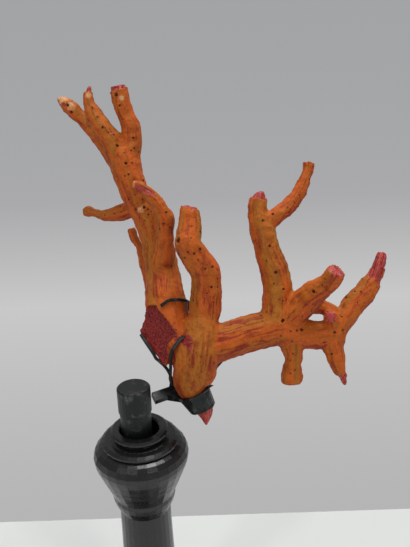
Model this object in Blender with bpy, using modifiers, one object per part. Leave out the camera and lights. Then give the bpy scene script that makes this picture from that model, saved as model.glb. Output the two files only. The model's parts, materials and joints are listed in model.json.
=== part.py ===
"""A branch of red coral with its orange crust, held in a metal mount on a turned wood stand.

Metres, +Z up. The origin is the middle of the foot's underside, on the stand's axis.
The coral's stations are given in millimetres as (across, up, back, radius), measured on an upright
frame that stands 260 mm from one sighting point: back is the distance behind that frame.
"""

import math

import bmesh
import bpy
from mathutils import Matrix, Vector
from mathutils.bvhtree import BVHTree

MM = 0.001
GAP = 0.0003

# Stand, radii and heights
STAND_TOP = 0.125
FOOT_RADIUS = 0.044
FOOT_HEIGHT = 0.015
SHAFT_RADIUS = 0.0105
SHAFT_SWELL = 0.0013
SHAFT_START = 0.0380
RING_RADIUS = 0.0116
BULB_RADIUS = 0.0192
HOLE_RADIUS = 0.0078
HOLE_DEPTH = 0.018
TURNED_STEPS = 28

# Mount
PEG_RADIUS = 0.0066
PEG_TENON_RADIUS = 0.0062
PEG_RISE = 0.0186
PEG_STEP_RISE = 0.0082
PEG_SHIFT = -0.0011
CLAW_RADIUS = 0.00065
CUP_WALL = 0.0009
ARM_WIDTH = 0.0042
ARM_THICKNESS = 0.0026
ARM_EDGE = 0.00025

# Sighting frame of the coral's stations
SIGHT_DISTANCE = 0.260
SIGHT_PITCH = math.radians(21.4)
SIGHT_ROLL = math.radians(-1.9)
SIGHT_POINT = Vector((0.0282, -0.2195, STAND_TOP + 0.1509))

# Coral surface
CORAL_VOXEL = 0.0007
CORAL_TRIANGLES = 4000
KERF = 0.0003
SAW_SIDES = 12

# Stations of each branch, from where it leaves its parent to its end
BRANCHES = {
    "base": [
        (-3.0, -18.0, -1.5, 6.4),
        (-1.8, -24.0, -2.0, 8.0),
        (-3.2, -30.6, -2.0, 9.4),
        (-4.2, -38.6, -1.5, 8.9),
        (-5.5, -43.2, -0.5, 7.3),
        (-4.4, -47.2, 0.5, 5.6),
        (-2.2, -51.0, 1.5, 4.6),
        (-0.4, -55.0, 2.0, 3.9),
        (0.4, -58.6, 2.0, 2.2),
        (0.7, -61.2, 2.0, 0.9),
    ],
    "heel": [
        (-8.0, -22.0, 3.0, 6.0),
        (-11.6, -31.0, 3.0, 4.4),
        (-13.4, -36.6, 2.0, 2.4),
    ],
    "left_limb": [
        (-8.0, -29.0, 1.0, 8.0),
        (-13.2, -22.6, 2.4, 8.0),
        (-14.8, -16.6, 4.0, 8.0),
        (-16.0, -9.4, 6.6, 8.1),
        (-16.4, -2.6, 9.4, 7.1),
        (-18.0, 5.4, 11.4, 6.6),
        (-19.6, 13.4, 12.0, 6.1),
        (-22.8, 21.4, 11.4, 5.7),
        (-25.4, 26.6, 10.6, 5.6),
        (-28.4, 33.4, 9.8, 5.7),
        (-30.6, 39.4, 9.4, 6.0),
        (-32.0, 45.4, 9.0, 6.0),
        (-33.0, 49.4, 9.0, 5.2),
    ],
    "left_tip_right": [
        (-31.0, 45.4, 9.0, 4.4),
        (-29.6, 51.4, 8.5, 4.2),
        (-29.4, 57.4, 8.0, 3.9),
        (-31.6, 63.4, 7.0, 3.7),
        (-33.6, 68.6, 6.0, 3.6),
        (-34.7, 73.4, 5.0, 3.5),
        (-35.0, 75.8, 4.5, 3.2),
    ],
    "left_tip_middle": [
        (-34.4, 46.4, 9.0, 4.8),
        (-36.8, 52.2, 8.5, 4.6),
        (-40.4, 57.4, 8.0, 4.3),
        (-44.0, 62.6, 8.0, 3.8),
        (-46.0, 67.0, 8.0, 2.7),
        (-46.7, 70.2, 8.0, 2.3),
        (-46.2, 73.8, 8.0, 1.6),
        (-46.1, 75.4, 8.0, 1.1),
    ],
    "left_tip_left": [
        (-31.6, 38.4, 10.0, 3.6),
        (-36.2, 45.0, 13.0, 3.3),
        (-40.2, 51.0, 15.5, 3.0),
        (-44.8, 56.8, 17.5, 2.6),
        (-50.0, 62.6, 18.0, 2.8),
        (-54.8, 67.0, 18.0, 3.1),
        (-57.6, 68.7, 17.5, 1.9),
        (-59.6, 68.7, 17.0, 0.9),
    ],
    "left_rear_twig": [
        (-27.2, 26.6, 12.0, 3.6),
        (-33.2, 24.4, 15.5, 3.1),
        (-36.0, 23.7, 17.0, 3.0),
        (-39.2, 23.5, 19.0, 2.5),
        (-42.0, 23.7, 21.0, 1.9),
        (-44.0, 24.3, 22.0, 1.9),
        (-46.6, 24.8, 23.5, 2.4),
        (-47.9, 25.0, 24.5, 1.9),
    ],
    "left_rear_spur": [
        (-20.8, -6.2, 12.6, 2.9),
        (-23.6, 2.2, 16.6, 2.5),
        (-25.2, 7.0, 18.6, 1.9),
        (-26.4, 11.0, 19.6, 1.7),
        (-28.2, 14.2, 20.0, 1.8),
        (-29.2, 17.0, 20.0, 1.6),
        (-29.5, 18.2, 20.0, 1.2),
    ],
    "front_curl": [
        (-17.4, 3.6, 7.6, 4.8),
        (-16.4, 9.4, 5.4, 4.3),
        (-15.9, 17.4, 3.4, 3.7),
        (-15.8, 21.2, 2.2, 3.9),
        (-17.4, 25.2, 1.0, 3.3),
        (-20.2, 29.6, 0.0, 2.8),
        (-23.4, 32.9, -0.8, 2.4),
        (-26.8, 35.0, -1.4, 2.2),
        (-28.9, 35.6, -1.2, 1.7),
    ],
    "front_limb": [
        (-1.4, -22.0, -1.5, 7.2),
        (-0.4, -17.8, -1.0, 6.2),
        (0.2, -10.6, -1.4, 6.4),
        (0.7, -4.6, -2.4, 6.3),
        (0.3, -0.6, -3.6, 6.2),
        (-1.6, 3.4, -5.2, 6.0),
        (-4.8, 8.0, -7.0, 5.8),
        (-6.6, 11.3, -8.4, 5.6),
        (-6.4, 15.4, -8.0, 5.1),
        (-6.0, 21.4, -7.0, 4.4),
        (-6.0, 24.6, -6.8, 4.2),
        (-5.6, 27.2, -6.6, 3.5),
    ],
    "front_limb_knob": [
        (-6.4, 12.4, -8.8, 3.6),
        (-9.7, 12.5, -12.4, 3.1),
    ],
    "right_limb": [
        (0.0, -29.0, -0.5, 8.2),
        (8.0, -27.0, 0.0, 7.6),
        (14.0, -25.0, 0.5, 7.3),
        (22.0, -23.0, 1.0, 7.5),
        (28.0, -21.8, 1.0, 7.4),
        (32.0, -22.4, 1.0, 6.8),
        (36.0, -23.4, 1.0, 6.0),
    ],
    "riser": [
        (28.6, -18.0, 1.0, 6.9),
        (29.2, -12.6, 0.8, 6.5),
        (29.2, -7.4, 0.2, 6.1),
        (28.4, -0.6, -0.6, 5.7),
        (26.6, 4.6, -1.4, 5.5),
        (24.8, 9.4, -2.0, 5.1),
        (23.6, 14.2, -2.4, 5.1),
        (22.8, 18.2, -2.6, 4.9),
        (21.4, 23.4, -2.8, 4.2),
        (21.0, 26.6, -2.8, 3.9),
        (21.3, 29.4, -2.8, 3.5),
        (21.7, 31.8, -2.8, 2.6),
        (21.7, 33.0, -2.8, 1.8),
    ],
    "riser_twig": [
        (24.0, 19.0, -2.2, 3.7),
        (28.8, 23.4, -1.8, 3.4),
        (32.4, 26.0, -1.2, 3.2),
        (35.6, 29.6, -0.8, 3.0),
        (38.8, 34.6, 0.0, 2.6),
        (40.4, 38.6, 0.2, 2.4),
        (41.4, 42.2, 0.4, 2.3),
        (41.6, 44.8, 0.4, 2.3),
    ],
    "front_stub": [
        (33.6, -18.0, 0.5, 6.0),
        (39.2, -11.8, -3.0, 5.9),
        (44.0, -7.8, -8.0, 5.2),
        (49.0, -4.0, -13.0, 4.1),
        (52.0, 0.0, -16.0, 3.9),
        (53.0, 1.5, -17.5, 3.3),
    ],
    "right_fork": [
        (32.0, -24.0, 1.0, 6.0),
        (40.0, -24.2, 1.0, 5.8),
        (46.8, -24.4, 1.5, 5.8),
        (52.0, -22.8, 2.0, 5.4),
    ],
    "fork_knob": [
        (51.0, -20.4, 0.5, 4.0),
        (50.4, -17.4, -3.5, 2.9),
        (50.3, -17.0, -5.0, 2.3),
    ],
    "fork_web": [
        (43.4, -12.6, 0.0, 3.5),
        (48.4, -13.8, 1.0, 3.0),
        (52.0, -17.4, 1.5, 3.6),
    ],
    "end_branch": [
        (51.0, -23.6, 2.0, 5.2),
        (54.0, -19.4, 2.0, 4.9),
        (57.4, -15.4, 2.5, 4.7),
        (60.6, -11.0, 3.0, 4.7),
        (64.2, -7.4, 3.0, 4.4),
        (66.2, -4.0, 3.0, 4.1),
        (67.2, -2.2, 3.0, 3.2),
        (68.5, 0.4, 3.0, 3.1),
        (69.5, 3.8, 3.0, 3.0),
        (70.6, 7.2, 3.0, 2.6),
        (70.9, 8.8, 3.0, 2.0),
    ],
    "lower_tip": [
        (50.0, -26.0, 1.5, 4.8),
        (51.6, -30.6, 1.0, 4.0),
        (52.6, -34.6, 1.0, 3.5),
        (53.6, -37.8, 1.0, 2.9),
        (54.8, -40.8, 1.5, 2.0),
        (55.8, -43.4, 2.0, 1.8),
        (56.2, -45.4, 2.0, 1.3),
    ],
    "lower_tip_bump": [
        (52.4, -25.8, 1.5, 3.0),
        (56.2, -26.7, 1.0, 2.1),
    ],
    "hanging_stub": [
        (34.2, -24.6, 1.0, 5.2),
        (34.8, -28.6, 1.0, 4.8),
        (35.2, -32.6, 1.5, 3.9),
        (35.0, -35.8, 1.5, 3.4),
        (34.8, -38.6, 2.0, 3.8),
        (34.8, -41.6, 2.0, 4.7),
        (34.8, -44.0, 2.0, 4.3),
    ],
}

# The coral's nodes: (branch, station) that lies inside each
CORAL_NODES = {
    "coral_root": ("base", 3.0),
    "coral_left_limb_lower": ("left_limb", 5.0),
    "coral_left_limb_upper": ("left_limb", 10.0),
    "coral_left_tip_right": ("left_tip_right", 4.0),
    "coral_left_tip_middle": ("left_tip_middle", 3.0),
    "coral_left_tip_left": ("left_tip_left", 4.0),
    "coral_left_rear_twig": ("left_rear_twig", 4.0),
    "coral_left_rear_spur": ("left_rear_spur", 4.0),
    "coral_front_curl": ("front_curl", 5.0),
    "coral_front_limb": ("front_limb", 5.0),
    "coral_right_limb": ("right_limb", 3.0),
    "coral_riser": ("riser", 4.0),
    "coral_riser_twig": ("riser_twig", 4.0),
    "coral_front_stub": ("front_stub", 3.0),
    "coral_right_fork": ("right_fork", 2.0),
    "coral_end_branch": ("end_branch", 4.0),
    "coral_lower_tip": ("lower_tip", 4.0),
    "coral_hanging_stub": ("hanging_stub", 4.0),
}

# Where the forks are parted: (branch, station, reach of the cut in branch radii)
FORK_CUTS = [
    ("left_limb", 3.2, 1.22),
    ("left_limb", 7.4, 1.3),
    ("left_tip_right", 2.4, 1.25),
    ("left_tip_middle", 2.0, 1.25),
    ("left_tip_left", 2.4, 1.4),
    ("left_rear_twig", 1.0, 1.5),
    ("left_rear_spur", 2.2, 1.5),
    ("front_curl", 3.4, 1.3),
    ("front_limb", 1.6, 1.2),
    ("right_limb", 1.4, 1.3),
    ("riser", 2.2, 1.3),
    ("riser_twig", 1.1, 1.4),
    ("front_stub", 1.6, 1.3),
    ("right_fork", 1.4, 1.18),
    ("fork_web", 0.4, 1.4),
    ("end_branch", 1.7, 1.4),
    ("lower_tip", 1.0, 1.4),
    ("hanging_stub", 1.8, 1.4),
]

# Broken face of the main stem: its outline, and how it recedes to the left
FACE_OUTLINE = [
    (-21.2, -12.6), (-18.0, -12.6), (-15.2, -16.6), (-13.2, -20.2), (-11.2, -24.2),
    (-13.6, -28.6), (-14.8, -32.6), (-15.6, -37.4), (-18.8, -33.8), (-24.0, -28.2),
    (-26.2, -23.0), (-24.4, -18.6), (-24.0, -15.4),
]
FACE_MIDDLE = (-19.2, -23.8, 1.0)
FACE_RECEDES = 0.83
STUMP_DEPTH = 0.011


# Wires of the mount: (across, up, back) from the block to the tip. All but the first two points
# are moved onto the coral's skin.
CLAWS = {
    "mount_claw_left": [
        (-12.4, -46.2, 4.6), (-13.8, -44.2, 4.0), (-15.0, -42.0, 3.0), (-15.8, -38.8, 1.6),
        (-17.6, -34.8, 0.6), (-19.8, -31.8, 1.2), (-21.8, -29.6, 2.4), (-23.6, -27.2, 3.8),
        (-25.4, -24.4, 5.2),
    ],
    "mount_claw_middle": [
        (-10.8, -45.4, 2.0), (-12.4, -43.2, -0.6), (-13.4, -40.4, -2.6), (-13.8, -37.4, -3.6),
        (-13.8, -34.4, -4.4), (-13.2, -31.4, -5.6), (-12.0, -28.6, -7.4), (-10.8, -26.4, -8.6),
        (-9.2, -24.8, -9.4),
    ],
    "mount_claw_upper": [
        (-1.0, -44.0, 9.0), (-2.0, -40.6, 10.6), (-3.0, -35.6, 12.6), (-4.0, -30.6, 13.0),
        (-4.8, -25.6, 13.0), (-5.4, -20.6, 12.6), (-5.6, -15.6, 10.6), (-6.4, -12.4, 7.4),
        (-7.2, -11.4, 3.6), (-8.8, -10.6, 0.0), (-11.2, -10.0, -3.6), (-14.0, -10.2, -4.6),
        (-16.0, -11.4, -4.6), (-17.8, -13.0, -4.0),
    ],
    "mount_claw_right": [
        (1.4, -44.6, 6.0), (3.2, -42.2, 6.4), (4.8, -40.6, 6.0), (6.8, -38.0, 6.0),
        (9.6, -34.6, 7.6), (12.6, -31.8, 8.4),
    ],
}
LOOSE_POINTS = 2
ROUTE_STEPS = 2
ROUTE_EASINGS = 3

# Cup: the middles of its rim and of its lower edge, and the reach of its band
CUP_TOP = (-3.4, -46.6, 0.4)
CUP_BOTTOM = (-0.2, -53.6, 1.8)
CUP_REACH = 0.014

# Arm and block, along their middles
ARM_START = (-20.6, -50.0, 2.2)
ARM_END = (-12.0, -47.0, 5.8)
BLOCK_START = (-14.6, -47.0, 4.6)
BLOCK_END = (-8.0, -48.0, 4.6)
BLOCK_WIDTH = 0.0062
BLOCK_THICKNESS = 0.0044

# Turned outline of the column's ring, bead, bulb and collar: (radius, height from the stand's top)
BULB_PROFILE = [
    (0.0108, 0.0), (RING_RADIUS, -0.0006), (RING_RADIUS, -0.0014), (0.0104, -0.0022), (0.0100, -0.0032),
    (0.0120, -0.0039), (0.0142, -0.0040), (0.0155, -0.0048), (0.0155, -0.0056), (0.0148, -0.0063),
    (0.0168, -0.0073), (0.0184, -0.0088), (BULB_RADIUS, -0.0112), (0.0190, -0.0136), (0.0182, -0.0162),
    (0.0171, -0.0190), (0.0163, -0.0212), (0.0159, -0.0220), (0.0152, -0.0240), (0.0139, -0.0270),
    (0.0129, -0.0297), (0.0129, -0.0316), (0.0122, -0.0342), (0.0110, -0.0366),
]


def clear_scene():
    for obj in list(bpy.data.objects):
        bpy.data.objects.remove(obj, do_unlink=True)


def new_collection(name, hidden=False):
    collection = bpy.data.collections.new(name)
    bpy.context.scene.collection.children.link(collection)
    collection.hide_render = hidden
    return collection


def material(name, colour, roughness, metallic=0.0):
    made = bpy.data.materials.new(name)
    made.use_nodes = True
    shader = made.node_tree.nodes["Principled BSDF"]
    shader.inputs["Base Color"].default_value = (*colour, 1.0)
    shader.inputs["Roughness"].default_value = roughness
    shader.inputs["Metallic"].default_value = metallic
    return made


def add_object(name, data, collection, look=None):
    obj = bpy.data.objects.new(name, data)
    collection.objects.link(obj)
    if look is not None:
        obj.data.materials.clear()
        obj.data.materials.append(look)
    return obj


def add_mesh(name, bm, collection, look=None):
    mesh = bpy.data.meshes.new(name)
    bm.to_mesh(mesh)
    bm.free()
    return add_object(name, mesh, collection, look)


def as_cutter(obj):
    obj.hide_render = True
    obj.display_type = "WIRE"
    return obj


def modifier(obj, kind, **settings):
    added = obj.modifiers.new(kind.title(), kind)
    for key, value in settings.items():
        setattr(added, key, value)
    return added


def apply_modifiers(obj):
    """Turns the object, curve or mesh, into the plain mesh that its modifiers make."""
    bpy.context.view_layer.update()
    graph = bpy.context.evaluated_depsgraph_get()
    mesh = bpy.data.meshes.new_from_object(obj.evaluated_get(graph))
    bm = bmesh.new()
    bm.from_mesh(mesh)
    bmesh.ops.remove_doubles(bm, verts=bm.verts, dist=0.000002)
    bm.to_mesh(mesh)
    bm.free()
    if obj.type == "MESH":
        obj.modifiers.clear()
        obj.data = mesh
        return obj
    name = obj.name
    collection = obj.users_collection[0]
    place_of = obj.matrix_world.copy()
    bpy.data.objects.remove(obj, do_unlink=True)
    made = add_object(name, mesh, collection)
    made.matrix_world = place_of
    return made


def boolean(obj, other, operation="DIFFERENCE"):
    modifier(obj, "BOOLEAN", operation=operation, solver="EXACT", object=other)


def smooth_shading(obj, angle=40.0):
    obj.data.shade_smooth()
    obj.data.set_sharp_from_angle(angle=math.radians(angle))


# Sighting frame

def sight_axes():
    right = Vector((1.0, 0.0, 0.0))
    forward = Vector((0.0, math.cos(SIGHT_PITCH), -math.sin(SIGHT_PITCH)))
    upward = Vector((0.0, math.sin(SIGHT_PITCH), math.cos(SIGHT_PITCH)))
    roll = Matrix.Rotation(-SIGHT_ROLL, 3, forward)
    return roll @ right, roll @ upward, forward


RIGHT, UPWARD, FORWARD = sight_axes()
WIDTH_TOWARD = RIGHT * 0.33 - UPWARD * 0.71 - FORWARD * 0.62


def place(across, up, back):
    """World position of a point that is seen at across and up on the frame, back behind it."""
    depth = SIGHT_DISTANCE + back * MM
    ray = FORWARD + (across * RIGHT + up * UPWARD) * (MM / SIGHT_DISTANCE)
    return SIGHT_POINT + depth * ray


def true_radius(radius, back):
    """A radius as it looks on the frame, made the real one at its distance behind it."""
    return radius * MM * (1.0 + back * MM / SIGHT_DISTANCE)


def station(branch, at):
    """Position, direction and radius of a branch at a station number, which may be a fraction."""
    stations = BRANCHES[branch]
    first = min(int(at), len(stations) - 2)
    low, high = stations[first], stations[first + 1]
    share = at - first
    start, end = place(*low[:3]), place(*high[:3])
    radius = true_radius(low[3], low[2]) * (1.0 - share) + true_radius(high[3], high[2]) * share
    return start.lerp(end, share), (end - start).normalized(), radius


# Coral

def branch_tube(name, stations, collection):
    """A tube of changing radius through the stations."""
    curve = bpy.data.curves.new(name, "CURVE")
    curve.dimensions = "3D"
    curve.bevel_depth = MM
    curve.bevel_resolution = 4
    curve.resolution_u = 6
    curve.use_fill_caps = True
    spline = curve.splines.new("BEZIER")
    spline.bezier_points.add(len(stations) - 1)
    for point, (across, up, back, radius) in zip(spline.bezier_points, stations):
        point.co = place(across, up, back)
        point.handle_left_type = "AUTO"
        point.handle_right_type = "AUTO"
        point.radius = true_radius(radius, back) / MM
    return apply_modifiers(add_object(name, curve, collection))


def face_point(across, up, lift=0.0):
    """A point of the broken face, lifted off it by lift."""
    back = FACE_MIDDLE[2] - FACE_RECEDES * (across - FACE_MIDDLE[0])
    return place(across, up, back) + lift * face_normal()


def face_normal():
    left = -RIGHT * FACE_RECEDES - FORWARD
    return left.normalized()


def face_prism(name, front, rear, shrink, collection):
    """The face's outline carried from front to rear along the face's normal, smaller at the rear."""
    bm = bmesh.new()
    middle = place(*FACE_MIDDLE)
    rings = []
    for lift, scale in ((front, 1.0), (rear, shrink)):
        centre = middle + lift * face_normal()
        ring = []
        for across, up in FACE_OUTLINE:
            spot = face_point(across, up, lift)
            ring.append(bm.verts.new(centre + (spot - centre) * scale))
        rings.append(ring)
    count = len(FACE_OUTLINE)
    for i in range(count):
        j = (i + 1) % count
        bm.faces.new((rings[0][i], rings[0][j], rings[1][j], rings[1][i]))
    bm.faces.new(rings[0])
    bm.faces.new(list(reversed(rings[1])))
    bmesh.ops.recalc_face_normals(bm, faces=bm.faces)
    return add_mesh(name, bm, collection)


def lump_texture(name, size, depth):
    texture = bpy.data.textures.new(name, "CLOUDS")
    texture.noise_scale = size
    texture.noise_depth = depth
    return texture


def coral_mass(cutters):
    """The whole coral as one closed skin, with its lumps and its broken face."""
    joined = bmesh.new()
    helpers = [branch_tube("tube_" + name, stations, cutters) for name, stations in BRANCHES.items()]
    helpers.append(face_prism("stump", 0.0004, -STUMP_DEPTH, 0.72, cutters))
    for helper in helpers:
        joined.from_mesh(helper.data)
        bpy.data.objects.remove(helper, do_unlink=True)
    mass = as_cutter(add_mesh("coral_mass", joined, cutters))
    modifier(mass, "REMESH", mode="VOXEL", voxel_size=CORAL_VOXEL)
    modifier(mass, "SMOOTH", factor=0.5, iterations=5)
    modifier(mass, "DISPLACE", texture=lump_texture("lumps", 0.006, 1), strength=0.0012,
             mid_level=0.5, texture_coords="GLOBAL")
    mass = apply_modifiers(mass)
    beyond = as_cutter(face_prism("beyond_face", 0.012, 0.0, 1.0, cutters))
    boolean(mass, beyond)
    modifier(mass, "REMESH", mode="VOXEL", voxel_size=CORAL_VOXEL)
    mass = apply_modifiers(mass)
    triangles = sum(len(face.vertices) - 2 for face in mass.data.polygons)
    modifier(mass, "DECIMATE", ratio=CORAL_TRIANGLES / triangles, use_collapse_triangulate=True)
    return apply_modifiers(mass)


def grown(mass, name, distance, cutters):
    """A copy of the coral with its skin moved out by distance."""
    copy = as_cutter(add_object(name, mass.data.copy(), cutters))
    modifier(copy, "DISPLACE", strength=distance, mid_level=0.0)
    return apply_modifiers(copy)


def fork_saw(branch, at, reach, cutters):
    """A thin disc across a branch at a station number."""
    centre, direction, radius = station(branch, at)
    turn = direction.to_track_quat("Z", "Y").to_matrix().to_4x4()
    bm = bmesh.new()
    bmesh.ops.create_cone(bm, cap_ends=True, segments=SAW_SIDES, radius1=radius * reach,
                          radius2=radius * reach, depth=KERF, matrix=Matrix.Translation(centre) @ turn)
    return as_cutter(add_mesh("saw_" + branch, bm, cutters))


def loose_parts(mesh):
    """The separate closed skins of a mesh, each as a new bmesh."""
    source = bmesh.new()
    source.from_mesh(mesh)
    source.verts.ensure_lookup_table()
    part_of = {}
    count = 0
    for seed in source.verts:
        if seed.index in part_of:
            continue
        queue = [seed]
        part_of[seed.index] = count
        while queue:
            vert = queue.pop()
            for edge in vert.link_edges:
                other = edge.other_vert(vert)
                if other.index not in part_of:
                    part_of[other.index] = count
                    queue.append(other)
        count += 1
    parts = []
    for number in range(count):
        part = source.copy()
        part.verts.ensure_lookup_table()
        outside = [vert for vert in part.verts if part_of[vert.index] != number]
        bmesh.ops.delete(part, geom=outside, context="VERTS")
        parts.append(part)
    source.free()
    return parts


def distance_to(bm, point):
    return min((vert.co - point).length for vert in bm.verts)


def make_coral(mass, look, parts, cutters):
    """Parts the coral at its forks and names each piece."""
    whole = as_cutter(add_object("coral_whole", mass.data.copy(), cutters))
    for branch, at, reach in FORK_CUTS:
        boolean(whole, fork_saw(branch, at, reach, cutters))
    whole = apply_modifiers(whole)
    pieces = loose_parts(whole.data)
    bpy.data.objects.remove(whole, do_unlink=True)
    for name, (branch, at) in CORAL_NODES.items():
        centre = station(branch, at)[0]
        piece = min(pieces, key=lambda bm: distance_to(bm, centre))
        pieces.remove(piece)
        smooth_shading(add_mesh(name, piece, parts, look), 50.0)


# Mount

def wire(name, points, radius, collection):
    """A round wire through world points."""
    curve = bpy.data.curves.new(name, "CURVE")
    curve.dimensions = "3D"
    curve.bevel_depth = radius
    curve.bevel_resolution = 2
    curve.use_fill_caps = True
    spline = curve.splines.new("POLY")
    spline.points.add(len(points) - 1)
    for point, spot in zip(spline.points, points):
        point.co = (*spot, 1.0)
    return apply_modifiers(add_object(name, curve, collection))


def laid_route(stations, skin):
    """World points of a wire that leaves its block freely and then lies on a skin."""
    route = [place(*spot) for spot in stations[:LOOSE_POINTS]]
    for low, high in zip(stations[LOOSE_POINTS - 1:], stations[LOOSE_POINTS:]):
        for step in range(1, ROUTE_STEPS + 1):
            spot = Vector(low).lerp(Vector(high), step / ROUTE_STEPS)
            route.append(skin.find_nearest(place(*spot))[0])
    for _ in range(ROUTE_EASINGS):
        eased = [(a + 2 * b + c) / 4 for a, b, c in zip(route, route[1:], route[2:])]
        route = [route[0], *(outside(skin, spot) for spot in eased), route[-1]]
    return route


def outside(skin, spot):
    """The spot itself, or its nearest point on the skin if it lies inside."""
    nearest, normal = skin.find_nearest(spot)[:2]
    return spot if (spot - nearest).dot(normal) > 0.0 else nearest


def make_claws(mass, keep_off, look, parts, cutters):
    """The wires that grip the coral, each clear of it, of the cup and of the block."""
    outer = grown(mass, "claw_path_skin", 1.5 * GAP + CLAW_RADIUS, cutters)
    graph = bpy.context.evaluated_depsgraph_get()
    skin = BVHTree.FromObject(outer, graph)
    for name, stations in CLAWS.items():
        claw = wire(name, laid_route(stations, skin), CLAW_RADIUS, parts)
        for other in keep_off:
            boolean(claw, other)
        smooth_shading(largest_part(apply_modifiers(claw), name, parts, look))


def largest_part(obj, name, collection, look):
    """Keeps the biggest closed skin of a mesh and drops the slivers that a cut left."""
    pieces = loose_parts(obj.data)
    bpy.data.objects.remove(obj, do_unlink=True)
    pieces.sort(key=lambda bm: bm.calc_volume())
    kept = pieces.pop()
    for piece in pieces:
        piece.free()
    return add_mesh(name, kept, collection, look)


def make_cup(mass, clearance, look, parts, cutters):
    """A sheet sleeve that follows the coral's lower end between its rim and its lower edge."""
    band = as_cutter(cup_band(cutters))
    cup = grown(mass, "cup_outside", GAP + CUP_WALL, cutters)
    boolean(cup, band, "INTERSECT")
    cup = apply_modifiers(cup)
    boolean(cup, clearance)
    smooth_shading(largest_part(apply_modifiers(cup), "mount_cup", parts, look))


def cup_band(cutters):
    """The space between the cup's rim and its lower edge, as a slanting drum."""
    top, bottom = place(*CUP_TOP), place(*CUP_BOTTOM)
    axis = top - bottom
    bm = bmesh.new()
    turn = axis.to_track_quat("Z", "Y").to_matrix().to_4x4()
    bmesh.ops.create_cone(bm, cap_ends=True, segments=24, radius1=CUP_REACH, radius2=CUP_REACH,
                          depth=axis.length, matrix=Matrix.Translation((top + bottom) / 2) @ turn)
    return add_mesh("cup_band", bm, cutters)


def beam(bm, start, end, width_toward, width, thickness):
    """A square-cut bar from start to end, with its width along width_toward."""
    along = (end - start).normalized()
    side = (width_toward - along * width_toward.dot(along)).normalized()
    normal = along.cross(side)
    frame = Matrix((along, side, normal)).transposed().to_4x4()
    size = Matrix.Diagonal((*((end - start).length, width, thickness), 1.0))
    bmesh.ops.create_cube(bm, size=1.0, matrix=Matrix.Translation((start + end) / 2) @ frame @ size)


def block_of(name, margin, cutters):
    """The block at the arm's end, larger all round by margin."""
    start, end = place(*BLOCK_START), place(*BLOCK_END)
    reach = (end - start).normalized() * margin
    bm = bmesh.new()
    beam(bm, start - reach, end + reach, WIDTH_TOWARD, BLOCK_WIDTH + 2 * margin, BLOCK_THICKNESS + 2 * margin)
    return as_cutter(add_mesh(name, bm, cutters))


def make_arm(keep_off, look, parts, cutters):
    """The flat bar that leaves the peg, with the block that carries the cup and the claws."""
    bm = bmesh.new()
    beam(bm, place(*ARM_START), place(*ARM_END), WIDTH_TOWARD, ARM_WIDTH, ARM_THICKNESS)
    arm = add_mesh("mount_arm", bm, parts)
    boolean(arm, block_of("block", 0.0, cutters), "UNION")
    for other in keep_off:
        boolean(arm, other)
    arm = largest_part(apply_modifiers(arm), "mount_arm", parts, look)
    modifier(arm, "BEVEL", width=ARM_EDGE, segments=1, limit_method="ANGLE", angle_limit=math.radians(60))


# Turned parts

def turned(name, profile, collection, look):
    """A solid turned about Z from (radius, height) points that run down its outer side."""
    bm = bmesh.new()
    verts = [bm.verts.new((radius, 0.0, height)) for radius, height in profile]
    for low, high in zip(verts, verts[1:]):
        bm.edges.new((low, high))
    obj = add_mesh(name, bm, collection, look)
    modifier(obj, "SCREW", steps=TURNED_STEPS, render_steps=TURNED_STEPS, use_merge_vertices=True,
             merge_threshold=0.00001, use_smooth_shade=True)
    return obj


def arc(middle_radius, middle_height, radius, start, end, count):
    """Profile points on an arc, with angles in degrees from +X toward +Z."""
    points = []
    for i in range(count):
        angle = math.radians(start + (end - start) * i / (count - 1))
        points.append((middle_radius + radius * math.cos(angle), middle_height + radius * math.sin(angle)))
    return points


def column_profile():
    top = STAND_TOP
    bulb = [(r, top + z) for r, z in BULB_PROFILE]
    hole = [(0.0, top - HOLE_DEPTH), (HOLE_RADIUS, top - HOLE_DEPTH), (HOLE_RADIUS, top - 0.0006),
            (HOLE_RADIUS + 0.0006, top)]
    shaft = [(SHAFT_RADIUS, top - SHAFT_START), (SHAFT_RADIUS + SHAFT_SWELL, FOOT_HEIGHT + GAP),
             (0.0, FOOT_HEIGHT + GAP)]
    return hole + bulb + shaft


def foot_profile():
    rounded = arc(FOOT_RADIUS - 0.006, 0.0065, 0.006, 60.0, -60.0, 7)
    return [(0.0, FOOT_HEIGHT), (FOOT_RADIUS - 0.012, FOOT_HEIGHT), *rounded,
            (FOOT_RADIUS - 0.0045, 0.0), (0.0, 0.0)]


def make_stand(look, parts):
    turned("stand_column", column_profile(), parts, look)
    turned("stand_foot", foot_profile(), parts, look)


def make_peg(look, parts):
    rise = STAND_TOP + PEG_RISE
    step = STAND_TOP + PEG_STEP_RISE
    bottom = STAND_TOP - HOLE_DEPTH + GAP
    profile = [(0.0, rise), (PEG_RADIUS - 0.0005, rise), (PEG_RADIUS, rise - 0.0005), (PEG_RADIUS, step),
               (PEG_TENON_RADIUS, step - 0.0004), (PEG_TENON_RADIUS, bottom), (0.0, bottom)]
    peg = turned("mount_peg", profile, parts, look)
    peg.location.x = PEG_SHIFT


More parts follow.
